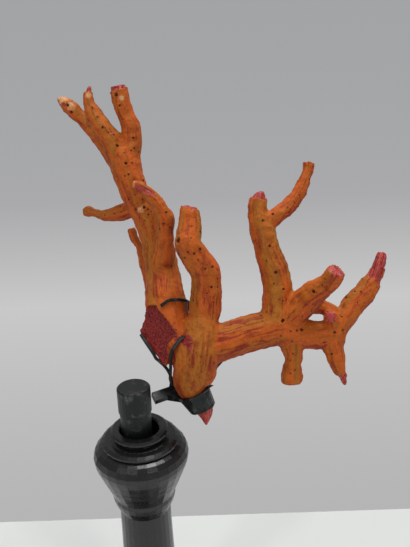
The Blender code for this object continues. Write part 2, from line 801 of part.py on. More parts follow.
def main():
    clear_scene()
    parts = new_collection("red_coral_on_stand")
    cutters = new_collection("cutters", hidden=True)
    crust = material("coral_orange_crust", (0.62, 0.13, 0.02), 0.75)
    metal = material("blackened_metal", (0.035, 0.038, 0.036), 0.45, 0.9)
    wood = material("ebonised_wood", (0.012, 0.011, 0.010), 0.35)
    mass = coral_mass(cutters)
    make_coral(mass, crust, parts, cutters)
    clearance = grown(mass, "coral_clearance", GAP, cutters)
    make_cup(mass, clearance, metal, parts, cutters)
    cup_room = grown(mass, "cup_clearance", 2.0 * GAP + CUP_WALL, cutters)
    boolean(cup_room, cup_band(cutters), "INTERSECT")
    cup_room = as_cutter(apply_modifiers(cup_room))
    make_arm((clearance, cup_room), metal, parts, cutters)
    block_room = block_of("block_room", GAP, cutters)
    make_claws(mass, (clearance, cup_room, block_room), metal, parts, cutters)
    make_peg(metal, parts)
    make_stand(wood, parts)


main()
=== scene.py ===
# Red coral branch in its blackened mount, on a turned black stand
import json
import math
import bpy
import numpy as np
from mathutils import Matrix, Vector, noise
from mathutils.bvhtree import BVHTree
from mathutils.kdtree import KDTree

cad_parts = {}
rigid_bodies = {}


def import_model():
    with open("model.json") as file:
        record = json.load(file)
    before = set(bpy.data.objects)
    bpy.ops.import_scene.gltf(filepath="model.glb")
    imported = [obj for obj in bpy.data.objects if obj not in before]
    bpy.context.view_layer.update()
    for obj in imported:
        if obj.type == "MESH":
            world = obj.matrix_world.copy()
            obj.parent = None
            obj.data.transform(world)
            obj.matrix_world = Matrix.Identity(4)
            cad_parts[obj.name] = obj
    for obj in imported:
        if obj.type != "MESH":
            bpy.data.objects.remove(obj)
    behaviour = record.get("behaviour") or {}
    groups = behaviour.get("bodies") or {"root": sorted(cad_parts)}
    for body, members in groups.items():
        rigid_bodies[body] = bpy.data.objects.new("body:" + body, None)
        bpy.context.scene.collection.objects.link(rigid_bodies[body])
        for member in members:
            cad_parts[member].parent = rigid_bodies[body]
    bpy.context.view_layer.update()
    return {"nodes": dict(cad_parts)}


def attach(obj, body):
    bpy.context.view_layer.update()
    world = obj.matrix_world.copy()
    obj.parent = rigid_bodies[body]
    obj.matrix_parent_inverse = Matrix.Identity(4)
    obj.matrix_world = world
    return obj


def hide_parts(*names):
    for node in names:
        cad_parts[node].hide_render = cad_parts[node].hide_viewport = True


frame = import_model()
mm = 0.001


# Camera, at the photo's angle

sight = {
    "spot": (0.0282, -0.2195, 0.2759),
    "pitch": 21.4,      # degrees down
    "roll": -1.9,
    "distance": 0.260,  # from the camera to the plane that across and up are measured on
    "lens": 42.78,
}


def sightAxes():
    pitch = math.radians(sight["pitch"])
    forward = Vector((0.0, math.cos(pitch), -math.sin(pitch)))
    upward = Vector((0.0, math.sin(pitch), math.cos(pitch)))
    roll = Matrix.Rotation(-math.radians(sight["roll"]), 3, forward)
    return roll @ Vector((1.0, 0.0, 0.0)), roll @ upward, forward


right, upward, forward = sightAxes()


def place(across, up, back):  # millimetres on the sighting plane, and behind it
    depth = sight["distance"] + back * mm
    ray = forward + (across * right + up * upward) * (mm / sight["distance"])
    return Vector(sight["spot"]) + depth * ray


def trueRadius(radius, back):
    return radius * mm * (1.0 + back * mm / sight["distance"])


def addCamera():
    bpy.ops.object.camera_add(location=sight["spot"])
    camera = bpy.context.object
    camera.matrix_world = (Matrix.Translation(sight["spot"])
                           @ Matrix((right, upward, -forward)).transposed().to_4x4())
    camera.data.lens = sight["lens"]
    camera.data.sensor_width = 36.0
    camera.data.clip_start = 0.01
    bpy.context.scene.camera = camera


# Small tools

def deselectAll():
    for obj in bpy.context.selected_objects:
        obj.select_set(False)


def pick(obj):
    deselectAll()
    obj.select_set(True)
    bpy.context.view_layer.objects.active = obj


def useModifier(obj, kind, **settings):
    pick(obj)
    modifier = obj.modifiers.new(kind.lower(), kind)
    modifier.show_viewport = False  # worked out once, when it is applied
    for key, value in settings.items():
        setattr(modifier, key, value)
    bpy.ops.object.modifier_apply(modifier=modifier.name)


def joinAll(objs, name):
    deselectAll()
    for obj in objs:
        obj.select_set(True)
    bpy.context.view_layer.objects.active = objs[0]
    bpy.ops.object.join()
    objs[0].name = name
    return objs[0]


def getPoints(obj):
    points = np.empty(len(obj.data.vertices) * 3, np.float32)
    obj.data.vertices.foreach_get("co", points)
    return points.reshape(-1, 3)


def setPoints(obj, points):
    obj.data.vertices.foreach_set("co", points.astype(np.float32).ravel())
    obj.data.update()


def getNormals(obj):
    normals = np.empty(len(obj.data.vertices) * 3, np.float32)
    obj.data.vertices.foreach_get("normal", normals)
    return normals.reshape(-1, 3)


def paint(obj, name, values):
    kind = "FLOAT" if values.ndim == 1 else "FLOAT_VECTOR"
    layer = obj.data.attributes.new(name, kind, "POINT")
    layer.data.foreach_set("value" if values.ndim == 1 else "vector", values.astype(np.float32).ravel())


def softStep(low, high, values):
    share = np.clip((values - low) / (high - low), 0.0, 1.0)
    return share * share * (3.0 - 2.0 * share)


def clouds(points, size, octaves=1):  # noise of about -1 to 1 at each point
    return np.array([noise.fractal(p, 1.0, 2.0, octaves) for p in (points / size).tolist()])


# Shader maths: a socket that can be used in sums, and the tree that it belongs to

class Socket:
    def __init__(self, tree, link):
        self.tree = tree
        self.link = link

    def sum(self, operation, first, second):
        return self.tree.node("Math", {"operation": operation}, {0: first, 1: second})

    def __add__(self, other):
        return self.sum("ADD", self, other)

    def __radd__(self, other):
        return self.sum("ADD", other, self)

    def __sub__(self, other):
        return self.sum("SUBTRACT", self, other)

    def __rsub__(self, other):
        return self.sum("SUBTRACT", other, self)

    def __mul__(self, other):
        return self.sum("MULTIPLY", self, other)

    def __rmul__(self, other):
        return self.sum("MULTIPLY", other, self)

    def __truediv__(self, other):
        return self.sum("DIVIDE", self, other)

    def __pow__(self, other):
        return self.sum("POWER", self, other)


class Finish:
    def __init__(self, name, **surface):
        self.material = bpy.data.materials.new(name)
        self.material.use_nodes = True
        self.tree = self.material.node_tree
        self.tree.nodes.clear()
        self.output = self.tree.nodes.new("ShaderNodeOutputMaterial")
        self.surface = surface

    def node(self, kind, settings=None, inputs=None, out=0):
        made = self.tree.nodes.new("ShaderNode" + kind)
        for key, value in (settings or {}).items():
            if key == "stops":
                ramp = made.color_ramp
                while len(ramp.elements) < len(value):
                    ramp.elements.new(0.5)
                for element, (position, colour) in zip(ramp.elements, value):
                    element.position = position
                    element.color = (*colour, 1.0) if isinstance(colour, tuple) else (colour,) * 3 + (1.0,)
            else:
                setattr(made, key, value)
        for key, value in (inputs or {}).items():
            if isinstance(value, Socket):
                self.tree.links.new(value.link, made.inputs[key])
            elif isinstance(value, tuple) and len(value) == 3 and made.inputs[key].type == "RGBA":
                made.inputs[key].default_value = (*value, 1.0)
            else:
                made.inputs[key].default_value = value
        return Socket(self, made.outputs[out])

    def objectSpot(self):
        return self.node("TexCoord", out="Object")

    def painted(self, name, out="Fac"):
        return self.node("Attribute", {"attribute_name": name}, out=out)

    def noise(self, spot, scale, detail=2.0, roughness=0.5, distortion=0.0):
        return self.node("TexNoise", None, {"Vector": spot, "Scale": scale, "Detail": detail,
                                            "Roughness": roughness, "Distortion": distortion})

    def cells(self, spot, scale, randomness=1.0, feature="F1"):
        return self.node("TexVoronoi", {"feature": feature},
                         {"Vector": spot, "Scale": scale, "Randomness": randomness}, out="Distance")

    def stretched(self, spot, scale):
        return self.node("Mapping", None, {"Vector": spot, "Scale": scale})

    def step(self, value, low, high, start=0.0, end=1.0):
        return self.node("MapRange", {"interpolation_type": "SMOOTHSTEP"},
                         {"Value": value, "From Min": low, "From Max": high, "To Min": start, "To Max": end})

    def mix(self, share, first, second, blend="MIX"):
        return self.node("Mix", {"data_type": "RGBA", "blend_type": blend}, {0: share, 6: first, 7: second}, out=2)

    def bump(self, height, strength, distance, under=None):
        inputs = {"Height": height, "Strength": strength, "Distance": distance}
        if under is not None:
            inputs["Normal"] = under
        return self.node("Bump", None, inputs)

    def finish(self, **inputs):
        named = {"Base Color": inputs.pop("colour"), "Roughness": inputs.pop("roughness")}
        if "normal" in inputs:
            named["Normal"] = inputs.pop("normal")
        if "metallic" in inputs:
            named["Metallic"] = inputs.pop("metallic")
        named.update(self.surface)
        shader = self.node("BsdfPrincipled", None, named)
        self.tree.links.new(shader.link, self.output.inputs["Surface"])
        return self.material


# Coral: the branch with its crust, pits and bare broken ends

coral = {
    "voxel": 0.00032,
    "lump": 0.0012,         # height of the large lumps
    "lumpSize": 0.006,
    "knobble": 0.00026,     # height of the small lumps
    "knobbleSize": 0.0026,
    "crumb": 0.00010,       # height of the crust's grains
    "crumbSize": 0.0008,
    "streak": 0.00021,      # depth of the lines that run along a limb
    "streakSize": 0.00095,
    "crust": 0.00055,       # thickness of the crust, missing where the core is bare
    "crustEdge": 0.00035,   # how far its broken edge stands up
    "rib": 0.00022,         # height of the bare core's ribs
    "hiddenPits": 520,
    "triangles": 196000,
    "crustColour": (0.66, 0.125, 0.009),
    "ochre": (0.50, 0.160, 0.010),
    "redBrown": (0.30, 0.026, 0.006),
    "salmon": (0.92, 0.34, 0.13),
    # colour of the painted shade inside the pit hollows, nearly black
    "pitShadeColour": (0.045, 0.004, 0.003),
    "core": (0.40, 0.022, 0.016),
    "coreLight": (0.66, 0.13, 0.10),
    "coreDark": (0.13, 0.006, 0.006),
    "pale": (0.86, 0.56, 0.27),
}

branches = {
    "base": [
        (-3.0, -18.0, -1.5, 6.4), (-1.8, -24.0, -2.0, 8.0), (-3.2, -30.6, -2.0, 9.4),
        (-4.2, -38.6, -1.5, 8.9), (-5.5, -43.2, -0.5, 7.3), (-4.4, -47.2, 0.5, 5.6),
        (-2.2, -51.0, 1.5, 4.6), (-0.4, -55.0, 2.0, 3.9), (0.4, -58.6, 2.0, 2.2), (0.7, -61.2, 2.0, 0.9),
    ],
    "heel": [(-8.0, -22.0, 3.0, 6.0), (-11.6, -31.0, 3.0, 4.4), (-13.4, -36.6, 2.0, 2.4)],
    "leftLimb": [
        (-8.0, -29.0, 1.0, 8.0), (-13.2, -22.6, 2.4, 8.0), (-14.8, -16.6, 4.0, 8.0),
        (-16.0, -9.4, 6.6, 8.1), (-16.4, -2.6, 9.4, 7.1), (-18.0, 5.4, 11.4, 6.6), (-19.6, 13.4, 12.0, 6.1),
        (-22.8, 21.4, 11.4, 5.7), (-25.4, 26.6, 10.6, 5.6), (-28.4, 33.4, 9.8, 5.7),
        (-30.6, 39.4, 9.4, 6.0), (-32.0, 45.4, 9.0, 6.0), (-33.0, 49.4, 9.0, 5.2),
    ],
    "leftTipRight": [
        (-31.0, 45.4, 9.0, 4.4), (-29.6, 51.4, 8.5, 4.2), (-29.4, 57.4, 8.0, 3.9), (-31.6, 63.4, 7.0, 3.7),
        (-33.6, 68.6, 6.0, 3.6), (-34.7, 73.4, 5.0, 3.5), (-35.0, 75.8, 4.5, 3.2),
    ],
    "leftTipMiddle": [
        (-34.4, 46.4, 9.0, 4.8), (-36.8, 52.2, 8.5, 4.6), (-40.4, 57.4, 8.0, 4.3), (-44.0, 62.6, 8.0, 3.8),
        (-46.0, 67.0, 8.0, 2.7), (-46.7, 70.2, 8.0, 2.3), (-46.2, 73.8, 8.0, 1.6), (-46.1, 75.4, 8.0, 1.1),
    ],
    "leftTipLeft": [
        (-31.6, 38.4, 10.0, 3.6), (-36.2, 45.0, 13.0, 3.3), (-40.2, 51.0, 15.5, 3.0),
        (-44.8, 56.8, 17.5, 2.6), (-50.0, 62.6, 18.0, 2.8), (-54.8, 67.0, 18.0, 3.1),
        (-57.6, 68.7, 17.5, 1.9), (-59.6, 68.7, 17.0, 0.9),
    ],
    "leftRearTwig": [
        (-27.2, 26.6, 12.0, 3.6), (-33.2, 24.4, 15.5, 3.1), (-36.0, 23.7, 17.0, 3.0),
        (-39.2, 23.5, 19.0, 2.5), (-42.0, 23.7, 21.0, 1.9), (-44.0, 24.3, 22.0, 1.9),
        (-46.6, 24.8, 23.5, 2.4), (-47.9, 25.0, 24.5, 1.9),
    ],
    "leftRearSpur": [
        (-20.8, -6.2, 12.6, 2.9), (-23.6, 2.2, 16.6, 2.5), (-25.2, 7.0, 18.6, 1.9),
        (-26.4, 11.0, 19.6, 1.7), (-28.2, 14.2, 20.0, 1.8), (-29.2, 17.0, 20.0, 1.6),
        (-29.5, 18.2, 20.0, 1.2),
    ],
    "frontCurl": [
        (-17.4, 3.6, 7.6, 4.8), (-16.4, 9.4, 5.4, 4.3), (-15.9, 17.4, 3.4, 3.7), (-15.8, 21.2, 2.2, 3.9),
        (-17.4, 25.2, 1.0, 3.3), (-20.2, 29.6, 0.0, 2.8), (-23.4, 32.9, -0.8, 2.4),
        (-26.8, 35.0, -1.4, 2.2), (-28.9, 35.6, -1.2, 1.7),
    ],
    "frontLimb": [
        (-1.4, -22.0, -1.5, 7.2), (-0.4, -17.8, -1.0, 6.2), (0.2, -10.6, -1.4, 6.4), (0.7, -4.6, -2.4, 6.3),
        (0.3, -0.6, -3.6, 6.2), (-1.6, 3.4, -5.2, 6.0), (-4.8, 8.0, -7.0, 5.8), (-6.6, 11.3, -8.4, 5.6),
        (-6.4, 15.4, -8.0, 5.1), (-6.0, 21.4, -7.0, 4.4), (-6.0, 24.6, -6.8, 4.2), (-5.6, 27.2, -6.6, 3.5),
    ],
    "frontKnob": [(-6.4, 12.4, -8.8, 3.6), (-9.7, 12.5, -12.4, 3.1)],
    "rightLimb": [
        (0.0, -29.0, -0.5, 8.2), (8.0, -27.0, 0.0, 7.6), (14.0, -25.0, 0.5, 7.3), (22.0, -23.0, 1.0, 7.5),
        (28.0, -21.8, 1.0, 7.4), (32.0, -22.4, 1.0, 6.8), (36.0, -23.4, 1.0, 6.0),
    ],
    "riser": [
        (28.6, -18.0, 1.0, 6.9), (29.2, -12.6, 0.8, 6.5), (29.2, -7.4, 0.2, 6.1), (28.4, -0.6, -0.6, 5.7),
        (26.6, 4.6, -1.4, 5.5), (24.8, 9.4, -2.0, 5.1), (23.6, 14.2, -2.4, 5.1), (22.8, 18.2, -2.6, 4.9),
        (21.4, 23.4, -2.8, 4.2), (21.0, 26.6, -2.8, 3.9), (21.3, 29.4, -2.8, 3.5), (21.7, 31.8, -2.8, 2.6),
        (21.7, 33.0, -2.8, 1.8),
    ],
    "riserTwig": [
        (24.0, 19.0, -2.2, 3.7), (28.8, 23.4, -1.8, 3.4), (32.4, 26.0, -1.2, 3.2), (35.6, 29.6, -0.8, 3.0),
        (38.8, 34.6, 0.0, 2.6), (40.4, 38.6, 0.2, 2.4), (41.4, 42.2, 0.4, 2.3), (41.6, 44.8, 0.4, 2.3),
    ],
    "frontStub": [
        (33.6, -18.0, 0.5, 6.0), (39.2, -11.8, -3.0, 5.9), (44.0, -7.8, -8.0, 5.2),
        (49.0, -4.0, -13.0, 4.1), (52.0, 0.0, -16.0, 3.9), (53.0, 1.5, -17.5, 3.3),
    ],
    "rightFork": [
        (32.0, -24.0, 1.0, 6.0), (40.0, -24.2, 1.0, 5.8), (46.8, -24.4, 1.5, 5.8), (52.0, -22.8, 2.0, 5.4),
    ],
    "forkKnob": [(51.0, -20.4, 0.5, 4.0), (50.4, -17.4, -3.5, 2.9), (50.3, -17.0, -5.0, 2.3)],
    "forkWeb": [(43.4, -12.6, 0.0, 3.5), (48.4, -13.8, 1.0, 3.0), (52.0, -17.4, 1.5, 3.6)],
    "endBranch": [
        (51.0, -23.6, 2.0, 5.2), (54.0, -19.4, 2.0, 4.9), (57.4, -15.4, 2.5, 4.7), (60.6, -11.0, 3.0, 4.7),
        (64.2, -7.4, 3.0, 4.4), (66.2, -4.0, 3.0, 4.1), (67.2, -2.2, 3.0, 3.2), (68.5, 0.4, 3.0, 3.1),
        (69.5, 3.8, 3.0, 3.0), (70.6, 7.2, 3.0, 2.6), (70.9, 8.8, 3.0, 2.0),
    ],
    "lowerTip": [
        (50.0, -26.0, 1.5, 4.8), (51.6, -30.6, 1.0, 4.0), (52.6, -34.6, 1.0, 3.5), (53.6, -37.8, 1.0, 2.9),
        (54.8, -40.8, 1.5, 2.0), (55.8, -43.4, 2.0, 1.8), (56.2, -45.4, 2.0, 1.3),
    ],
    "lowerTipBump": [(52.4, -25.8, 1.5, 3.0), (56.2, -26.7, 1.0, 2.1)],
    "hangingStub": [
        (34.2, -24.6, 1.0, 5.2), (34.8, -28.6, 1.0, 4.8), (35.2, -32.6, 1.5, 3.9), (35.0, -35.8, 1.5, 3.4),
        (34.8, -38.6, 2.0, 3.8), (34.8, -41.6, 2.0, 4.7), (34.8, -44.0, 2.0, 4.3),
    ],
}

# Broken face of the main stem
brokenFace = {
    "outline": [
        (-21.2, -12.6), (-18.0, -12.6), (-15.2, -16.6), (-13.2, -20.2), (-11.2, -24.2), (-13.6, -28.6),
        (-14.8, -32.6), (-15.6, -37.4), (-18.8, -33.8), (-24.0, -28.2), (-26.2, -23.0), (-24.4, -18.6),
        (-24.0, -15.4),
    ],
    "middle": (-19.2, -23.8, 1.0),
    "recedes": 0.83,
    "depth": 0.011,
}

# Ends where the crust is gone: (across, up, back, reach), in millimetres
bareEnds = [
    (-35.6, 77.4, 4.5, 5.8), (-46.4, 75.0, 8.0, 3.4), (-60.6, 68.2, 17.0, 2.4), (-49.0, 25.2, 24.5, 2.2),
    (-30.0, 19.4, 20.0, 2.0), (-5.4, 29.0, -7.0, 5.0), (21.9, 34.2, -3.6, 5.4), (41.8, 46.6, 0.4, 3.4),
    (53.6, 2.8, -18.6, 4.3), (50.3, -16.4, -6.4, 3.8), (70.8, 8.8, 3.0, 5.0), (69.6, 4.4, 1.8, 4.6),
    (68.2, 0.6, 1.6, 3.2), (56.2, -45.4, 2.0, 3.9), (54.6, -41.6, 1.0, 2.4), (34.8, -46.4, 2.0, 3.2),
    (1.0, -60.0, 1.6, 7.0), (0.0, -55.4, 0.0, 4.0),
]

# Strips of bare core: two ends and a reach
bareStrips = [
    ((-27.4, 34.6, -3.8), (-20.4, 32.4, -3.4), 1.5),
    ((69.6, -2.0, 1.2), (68.4, -8.4, 1.6), 1.5),
    ((-59.4, 69.4, 14.6), (-56.2, 67.4, 15.0), 0.7),
]

# Pale dusty crust: (across, up, back, reach)
paleSpots = [
    (-56.6, 70.0, 15.8, 2.9), (-53.6, 66.8, 15.0, 2.0), (-29.6, 35.8, -2.6, 2.0), (-46.8, 71.4, 6.0, 1.6),
    (-9.8, 14.6, -14.6, 1.5), (-12.2, 13.6, -13.0, 1.2), (-33.6, 70.2, 2.6, 1.3), (-29.4, 69.6, 3.0, 1.2),
    (-25.6, 25.6, 5.0, 1.5), (-22.6, 28.6, 5.0, 1.2), (-18.4, 24.0, 6.5, 1.2),
]

# Pits on the side that is seen: (across, up, radius)
seenPits = [
    (-55.0, 67.2, 0.9), (-53.5, 64.6, 0.9), (-53.0, 69.2, 0.5), (-43.0, 62.6, 0.55), (-46.4, 61.0, 0.6),
    (-45.1, 66.3, 0.55), (-41.0, 58.2, 0.6), (-39.4, 57.0, 0.4), (-38.6, 56.2, 0.45), (-37.3, 56.8, 0.45),
    (-36.3, 55.5, 0.6), (-37.9, 57.8, 0.4), (-35.6, 77.0, 0.5), (-35.6, 71.6, 1.0), (-34.1, 67.2, 0.7),
    (-28.7, 54.3, 0.6), (-35.0, 51.2, 0.9), (-41.1, 58.6, 0.5), (-28.6, 54.2, 0.6), (-32.4, 48.3, 0.5),
    (-28.3, 50.0, 0.6), (-26.5, 48.6, 0.7), (-31.6, 44.0, 0.9), (-29.1, 44.3, 0.6), (-30.7, 39.6, 0.65),
    (-32.0, 38.8, 0.5), (-24.6, 37.2, 0.7), (-23.6, 35.4, 0.5), (-30.5, 29.6, 0.6), (-24.2, 26.3, 0.85),
    (-27.6, 25.7, 0.6), (-24.9, 29.5, 0.5), (-22.6, 23.4, 0.6), (-26.4, 22.6, 0.5), (-24.0, 21.2, 0.5),
    (-21.4, 24.6, 0.5), (-28.0, 31.6, 0.5), (-15.4, 24.4, 0.6), (-16.6, 20.0, 0.6), (-14.0, 18.6, 0.5),
    (-17.0, 31.4, 0.7), (-2.1, 21.3, 0.5), (-1.9, 16.8, 0.65), (-10.9, 13.2, 1.5), (-5.6, 14.2, 0.5),
    (-4.3, 8.1, 0.8), (-1.7, 9.8, 0.8), (-10.4, 7.6, 0.8), (-8.2, 6.4, 0.6), (3.1, 2.7, 0.7),
    (0.3, 2.0, 0.6), (5.0, -2.1, 0.65), (5.7, -0.2, 0.5), (2.6, -5.4, 0.8), (5.0, -5.4, 0.6),
    (-6.8, 8.6, 0.6), (-2.8, 5.4, 0.5), (0.6, -8.0, 0.5), (3.6, -11.6, 0.5), (23.0, 21.3, 0.7),
    (27.2, 23.7, 0.85), (25.9, 11.1, 0.8), (29.3, 11.8, 0.55), (28.2, 0.3, 0.9), (33.0, 5.0, 0.5),
    (20.0, 8.1, 0.6), (31.5, -6.4, 0.7), (31.1, -11.0, 0.5), (32.6, -10.4, 0.4), (29.4, -10.6, 0.4),
    (31.3, -18.8, 0.9), (24.6, 5.0, 0.5), (27.6, -4.0, 0.5), (43.4, -7.1, 1.0), (31.1, -19.2, 0.9),
    (45.0, -19.4, 0.65), (38.7, -22.5, 0.9), (36.9, -22.9, 0.6), (34.2, -22.9, 0.65), (51.9, -23.4, 0.9),
    (55.2, -22.9, 0.7), (62.3, -7.4, 0.55), (59.7, -7.1, 0.55), (56.4, -9.5, 0.65), (34.9, -27.2, 0.55),
    (30.4, -25.1, 0.55), (35.2, -31.9, 0.5), (50.5, -32.1, 0.65), (34.2, -34.7, 0.45), (34.0, -39.9, 0.5),
    (47.9, -27.6, 0.6), (54.5, -17.3, 0.5), (60.9, -11.8, 0.5), (47.0, -4.6, 0.5), (38.0, 31.4, 0.5),
    (33.2, 26.4, 0.45), (35.8, 28.4, 0.4), (14.4, -21.4, 0.4), (8.8, -20.6, 0.4), (-40.0, 23.2, 0.5),
]

# Where the lines of the crust are strong: (across, up, back, reach)
linedZones = [
    (14.0, -26.0, -6.0, 11.0), (24.0, -21.0, -6.0, 10.0), (31.0, -15.0, -5.0, 7.0), (-3.0, -34.0, -9.0, 8.0),
    (2.0, -14.0, -6.0, 7.0), (34.0, 27.0, 0.0, 7.0), (-20.0, 10.0, 6.0, 7.0), (-19.0, -4.0, 2.0, 7.0),
    (66.0, -2.0, 0.0, 4.0),
]


def addTube(stations):
    bpy.ops.curve.primitive_bezier_curve_add(radius=mm)
    tube = bpy.context.object
    tube.data.bevel_depth = mm
    tube.data.bevel_resolution = 6
    tube.data.resolution_u = 8
    tube.data.use_fill_caps = True
    spline = tube.data.splines[0]
    spline.bezier_points.add(len(stations) - len(spline.bezier_points))
    for point, (across, up, back, radius) in zip(spline.bezier_points, stations):
        point.co = place(across, up, back)
        point.handle_left_type = "AUTO"
        point.handle_right_type = "AUTO"
        point.radius = trueRadius(radius, back) / mm
    bpy.ops.object.convert(target="MESH")
    return bpy.context.object


def faceNormal():
    return (-right * brokenFace["recedes"] - forward).normalized()


def facePrism(front, rear, shrink):  # the broken face's outline, carried along its normal
    middle = place(*brokenFace["middle"])
    rings = []
    for lift, scale in ((front, 1.0), (rear, shrink)):
        centre = middle + lift * faceNormal()
        for across, up in brokenFace["outline"]:
            back = brokenFace["middle"][2] - brokenFace["recedes"] * (across - brokenFace["middle"][0])
            spot = place(across, up, back) + lift * faceNormal()
            rings.append(centre + (spot - centre) * scale)
    count = len(brokenFace["outline"])
    faces = [(i, (i + 1) % count, count + (i + 1) % count, count + i) for i in range(count)]
    faces += [tuple(range(count)), tuple(reversed(range(count, 2 * count)))]
    mesh = bpy.data.meshes.new("facePrism")
    mesh.from_pydata([tuple(spot) for spot in rings], [], faces)
    prism = bpy.data.objects.new("facePrism", mesh)
    bpy.context.scene.collection.objects.link(prism)
    pick(prism)
    bpy.ops.object.mode_set(mode="EDIT")
    bpy.ops.mesh.select_all(action="SELECT")
    bpy.ops.mesh.normals_make_consistent(inside=False)
    bpy.ops.object.mode_set(mode="OBJECT")
    return prism


def coralBody():
    tubes = [addTube(stations) for stations in branches.values()]
    tubes.append(facePrism(0.0004, -brokenFace["depth"], 0.72))
    body = joinAll(tubes, "coralBranch")
    useModifier(body, "REMESH", mode="VOXEL", voxel_size=0.00045)
    useModifier(body, "SMOOTH", factor=0.5, iterations=12)
    lumps = bpy.data.textures.new("lumps", "CLOUDS")
    lumps.noise_scale = coral["lumpSize"]
    lumps.noise_depth = 1
    useModifier(body, "DISPLACE", texture=lumps, strength=coral["lump"], mid_level=0.5, texture_coords="GLOBAL")
    beyond = facePrism(0.012, 0.0, 1.0)
    useModifier(body, "BOOLEAN", object=beyond, operation="DIFFERENCE", solver="EXACT")
    bpy.data.objects.remove(beyond)
    useModifier(body, "REMESH", mode="VOXEL", voxel_size=coral["voxel"])
    return body


class Limbs:  # where each point of the skin lies along its limb and round it
    def __init__(self):
        spots, ways, sides, radii, lengths, self.starts = [], [], [], [], [], []
        for number, stations in enumerate(branches.values()):
            side = None
            length = 60.0 * mm * number
            self.starts.append(len(spots))
            for low, high in zip(stations, stations[1:]):
                start, end = place(*low[:3]), place(*high[:3])
                way = (end - start).normalized()
                side = side or way.orthogonal()
                side = (side - way * side.dot(way)).normalized()
                count = max(2, round((end - start).length / (0.8 * mm)))
                for step in range(count):
                    share = step / count
                    spots.append(start.lerp(end, share))
                    ways.append(way)
                    sides.append(side)
                    radii.append((trueRadius(low[3], low[2]) * (1.0 - share)
                                  + trueRadius(high[3], high[2]) * share))
                    lengths.append(length + (end - start).length * share)
                length += (end - start).length
        self.spots, self.ways, self.sides = (np.array(part) for part in (spots, ways, sides))
        self.radii, self.lengths = np.array(radii), np.array(lengths)

    def find(self, points):  # grain coordinates, and how clearly a point belongs to one limb
        grain = np.empty((len(points), 3))
        clear = np.empty(len(points))
        size = 5.0 * mm
        for first in range(0, len(points), 8000):
            some = points[first:first + 8000].astype(float)
            square = (some ** 2).sum(1)[:, None] + (self.spots ** 2).sum(1)[None] - 2.0 * some @ self.spots.T
            far = np.sqrt(np.maximum(square, 0.0)) - self.radii
            nearest = np.sort(np.minimum.reduceat(far, self.starts, axis=1)[:, :], axis=1)
            best = far.argmin(1)
            offset = some - self.spots[best]
            along = (offset * self.ways[best]).sum(1)
            outward = offset - self.ways[best] * along[:, None]
            outward /= np.linalg.norm(outward, axis=1, keepdims=True) + 1e-9
            cross = np.cross(self.ways[best], self.sides[best])
            grain[first:first + 8000] = np.stack([(outward * self.sides[best]).sum(1) * size,
                                                  (outward * cross).sum(1) * size,
                                                  self.lengths[best] + along], 1)
            clear[first:first + 8000] = softStep(0.0, 1.4 * mm, nearest[:, 1] - nearest[:, 0])
        return grain, clear


def ballShare(points, balls):  # 1 at the middle of any ball, 0 at its edge, less outside
    share = np.full(len(points), -9.0)
    for across, up, back, reach in balls:
        far = np.linalg.norm(points - np.array(place(across, up, back)), axis=1)
        share = np.maximum(share, 1.0 - far / (reach * mm))
    return share


def stripShare(points, strips):
    share = np.full(len(points), -9.0)
    for start, end, reach in strips:
        start, end = np.array(place(*start)), np.array(place(*end))
        step = np.clip((points - start) @ (end - start) / ((end - start) @ (end - start)), 0.0, 1.0)
        far = np.linalg.norm(points - start - step[:, None] * (end - start), axis=1)
        share = np.maximum(share, 1.0 - far / (reach * mm))
    return share


def bareShare(points):  # 1 where the core is bare, with a ragged edge
    share = np.maximum(ballShare(points, bareEnds), stripShare(points, bareStrips))
    share += 0.15 * clouds(points, 1.7 * mm, 2) + 0.07 * clouds(points, 0.6 * mm)
    return softStep(-0.02, 0.10, share)


def faceShare(points, normals):  # 1 on the broken face, less the crust's cut edge
    offset = points - np.array(place(*brokenFace["middle"]))
    lift = offset @ np.array(faceNormal())
    across, up = offset @ np.array(right), offset @ np.array(upward)
    flat = softStep(0.72, 0.9, normals @ np.array(faceNormal()))
    near = softStep(0.9 * mm, 0.5 * mm, np.abs(lift)) * softStep(15.5 * mm, 14.5 * mm, np.hypot(across, up))
    return flat * near


def pitProfile(far):  # a bowl with a low rim
    bowl = -np.square(np.clip(1.0 - far * far, 0.0, 1.0))
    rim = 0.30 * softStep(0.75, 1.1, far) * softStep(1.7, 1.15, far)
    return bowl + rim


def carveSpots(points, normals, spots, heights, pitShadeMarks):
    tree = KDTree(len(points))
    for index, point in enumerate(points.tolist()):
        tree.insert(point, index)
    tree.balance()
    for index, radius, depth, mark in spots:
        found = tree.find_range(points[index].tolist(), radius * 1.7)
        near = np.array([item[1] for item in found])
        far = np.array([item[2] for item in found]) / radius
        facing = normals[near] @ normals[index] > 0.2
        near, far = near[facing], far[facing]
        heights[near] += depth * pitProfile(far)
        # marks where the pit hollows get painted shade
        pitShadeMarks[near] = np.maximum(pitShadeMarks[near], mark * softStep(1.1, 0.3, far))


def choosePits(body, points, normals, crust):
    chance = np.random.default_rng(11)
    skin = BVHTree.FromObject(body, bpy.context.evaluated_depsgraph_get())
    tree = KDTree(len(points))
    for index, point in enumerate(points.tolist()):
        tree.insert(point, index)
    tree.balance()
    spots = []
    for across, up, radius in seenPits:
        way = (place(across, up, 0.0) - Vector(sight["spot"])).normalized()
        hit = skin.ray_cast(Vector(sight["spot"]), way)[0]
        if hit is not None:
            spots.append((tree.find(hit)[1], radius * mm, 0.6 * radius * mm, 1.0))
    away = softStep(-0.10, 0.30, normals @ np.array(forward))  # the sides that the photo doesn't show
    dense = (0.10 + away) * (0.05 + softStep(-0.4, 0.5, clouds(points, 11.0 * mm, 2))) * crust
    for index in chance.choice(len(points), coral["hiddenPits"], replace=False, p=dense / dense.sum()):
        radius = chance.uniform(0.36, 0.80) * mm
        spots.append((index, radius, radius * chance.uniform(0.35, 0.7), chance.uniform(0.5, 1.0)))
    return spots


